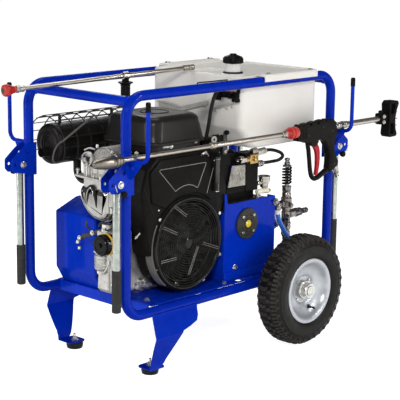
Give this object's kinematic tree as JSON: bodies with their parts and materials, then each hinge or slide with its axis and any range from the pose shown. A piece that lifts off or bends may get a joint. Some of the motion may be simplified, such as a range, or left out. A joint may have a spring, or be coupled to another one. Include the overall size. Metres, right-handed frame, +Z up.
{
  "type": "pressure washer",
  "caption": "Petrol-driven cold-water pressure washer in a tube frame with wheels, water tank, fold-down carry handles and stored spray lances.",
  "frame": {"origin": "on the floor, under the middle of the whole machine", "axes": "+Z up, +X along the length towards the wheel end, -Y the side with the spray gun"},
  "size_m": [1.552, 0.748, 1.04],
  "materials": {
    "blue_paint": "gloss",
    "black_rubber": "matt",
    "zinc_hardware": "satin",
    "tyre": "matt",
    "silver_rim": "satin",
    "galvanised": "satin",
    "grey_grip": "matt",
    "cast_aluminium": "cast",
    "black_sheet": "satin",
    "black_plastic": "satin",
    "dark_steel": "satin",
    "black_gloss": "gloss",
    "pump_grey": "cast",
    "nickel": "satin",
    "white_tank": "satin",
    "clear_plastic": "satin",
    "red_plastic": "gloss",
    "stainless": "satin",
    "bronze_steel": "satin"
  },
  "bodies": {
    "chassis": {"near_hoop": "blue_paint", "far_hoop": "blue_paint", "left_cross_tube": "blue_paint", "right_cross_tube": "blue_paint", "base_tray": "blue_paint", "legs": "blue_paint", "foot_pads": "black_rubber", "lance_hooks": "blue_paint", "hook_caps": "black_rubber", "handle_brackets": "blue_paint", "handle_pins": "zinc_hardware", "axle": "zinc_hardware", "crankcase": "cast_aluminium", "cylinders": "cast_aluminium", "blower_housing": "black_sheet", "fan_guard": "black_plastic", "air_cleaner": "black_plastic", "oil_filter": "black_gloss", "oil_fill_tube": "dark_steel", "muffler": "black_sheet", "muffler_guard": "dark_steel", "fuel_tank": "blue_paint", "pump_stand": "blue_paint", "pump_body": "pump_grey", "pump_cover": "pump_grey", "pump_head": "nickel", "unloader": "nickel", "drive_belt": "black_rubber", "belt_guard": "black_sheet", "hoses": "black_rubber", "filter_post": "black_plastic", "water_tank": "white_tank", "tank_neck": "clear_plastic", "tank_screws": "zinc_hardware"},
    "near_wheel": {"near_tyre": "tyre", "near_rim": "silver_rim"},
    "far_wheel": {"far_tyre": "tyre", "far_rim": "silver_rim"},
    "handle_1": {"handle_nl": "galvanised", "grip_nl": "grey_grip"},
    "handle_2": {"handle_fl": "galvanised", "grip_fl": "grey_grip"},
    "handle_3": {"handle_nr": "galvanised", "grip_nr": "grey_grip"},
    "handle_4": {"handle_fr": "galvanised", "grip_fr": "grey_grip"},
    "crank": {"crank_fan": "dark_steel"},
    "pump_rotor": {"pump_shaft": "dark_steel"},
    "dipstick_body": {"dipstick": "black_plastic"},
    "throttle": {"throttle_lever": "zinc_hardware"},
    "fuel_cap_body": {"fuel_cap": "black_plastic"},
    "regulator_knob": {"unloader_knob": "black_plastic"},
    "tank_cap_body": {"tank_cap": "black_plastic"},
    "spray_gun": {"gun_body": "black_plastic", "gun_lance": "stainless", "shoulder_stock": "black_rubber"},
    "trigger": {"gun_trigger": "red_plastic"},
    "rotating_nozzle": {"turbo_nozzle": "bronze_steel"},
    "spare_lance": {"far_lance": "stainless"},
    "spare_nozzle": {"far_nozzle": "red_plastic"}
  },
  "joints": [
    {"name": "near_wheel_spin", "type": "hinge", "parent": "chassis", "child": "near_wheel", "pos_m": [0.204, -0.324, 0.2], "axis": [0, 1, 0], "continuous": true},
    {"name": "far_wheel_spin", "type": "hinge", "parent": "chassis", "child": "far_wheel", "pos_m": [0.204, 0.324, 0.2], "axis": [0, 1, 0], "continuous": true},
    {"name": "handle_1_swing", "type": "hinge", "parent": "chassis", "child": "handle_1", "pos_m": [-0.619, -0.24, 0.68], "axis": [0, 1, 0], "range_deg": [0, 90]},
    {"name": "handle_2_swing", "type": "hinge", "parent": "chassis", "child": "handle_2", "pos_m": [-0.619, 0.24, 0.68], "axis": [0, 1, 0], "range_deg": [0, 90]},
    {"name": "handle_3_swing", "type": "hinge", "parent": "chassis", "child": "handle_3", "pos_m": [0.491, -0.24, 0.68], "axis": [0, -1, 0], "range_deg": [0, 90]},
    {"name": "handle_4_swing", "type": "hinge", "parent": "chassis", "child": "handle_4", "pos_m": [0.491, 0.24, 0.68], "axis": [0, -1, 0], "range_deg": [0, 90]},
    {"name": "crank_spin", "type": "hinge", "parent": "chassis", "child": "crank", "pos_m": [-0.257, 0, 0.424], "axis": [0, 1, 0], "continuous": true},
    {"name": "pump_spin", "type": "hinge", "parent": "chassis", "child": "pump_rotor", "pos_m": [0.039, 0, 0.447], "axis": [0, 1, 0], "continuous": true},
    {"name": "dipstick_pull", "type": "slide", "parent": "chassis", "child": "dipstick_body", "axis": [0, 0, 1], "range_m": [0, 0.12]},
    {"name": "throttle_turn", "type": "hinge", "parent": "chassis", "child": "throttle", "pos_m": [-0.078, -0.2, 0.718], "axis": [0, 1, 0], "range_deg": [-25, 25]},
    {"name": "fuel_cap_turn", "type": "hinge", "parent": "chassis", "child": "fuel_cap_body", "pos_m": [-0.412, 0.062, 0.56], "axis": [0, 0, 1], "range_deg": [0, 120]},
    {"name": "regulator_turn", "type": "hinge", "parent": "chassis", "child": "regulator_knob", "pos_m": [0.292, -0.174, 0.63], "axis": [0, 0, 1], "range_deg": [-180, 180]},
    {"name": "tank_cap_turn", "type": "hinge", "parent": "chassis", "child": "tank_cap_body", "pos_m": [0.042, -0.124, 1.01], "axis": [0, 0, 1], "range_deg": [0, 360]},
    {"name": "gun_lift", "type": "slide", "parent": "chassis", "child": "spray_gun", "axis": [0, 0, 1], "range_m": [0, 0.25]},
    {"name": "trigger_pull", "type": "hinge", "parent": "spray_gun", "child": "trigger", "pos_m": [0.276, -0.3, 0.72], "axis": [0, -1, 0], "range_deg": [0, 9], "stiffness_Nm_per_rad": 2, "springref_deg": -20.05},
    {"name": "nozzle_spin", "type": "hinge", "parent": "spray_gun", "child": "rotating_nozzle", "pos_m": [-0.714, -0.3, 0.768], "axis": [1, 0, 0], "continuous": true},
    {"name": "spare_lance_lift", "type": "slide", "parent": "chassis", "child": "spare_lance", "axis": [0, 0, 1], "range_m": [0, 0.2]},
    {"name": "spare_nozzle_turn", "type": "hinge", "parent": "spare_lance", "child": "spare_nozzle", "pos_m": [-0.73339, 0.14135, 0.94929], "axis": [0.9855, -0.1631, 0.0473], "range_deg": [-180, 180]}
  ],
  "couplings": [
    {"joint": "pump_spin", "follows": "crank_spin", "ratio": 0.63043}
  ]
}
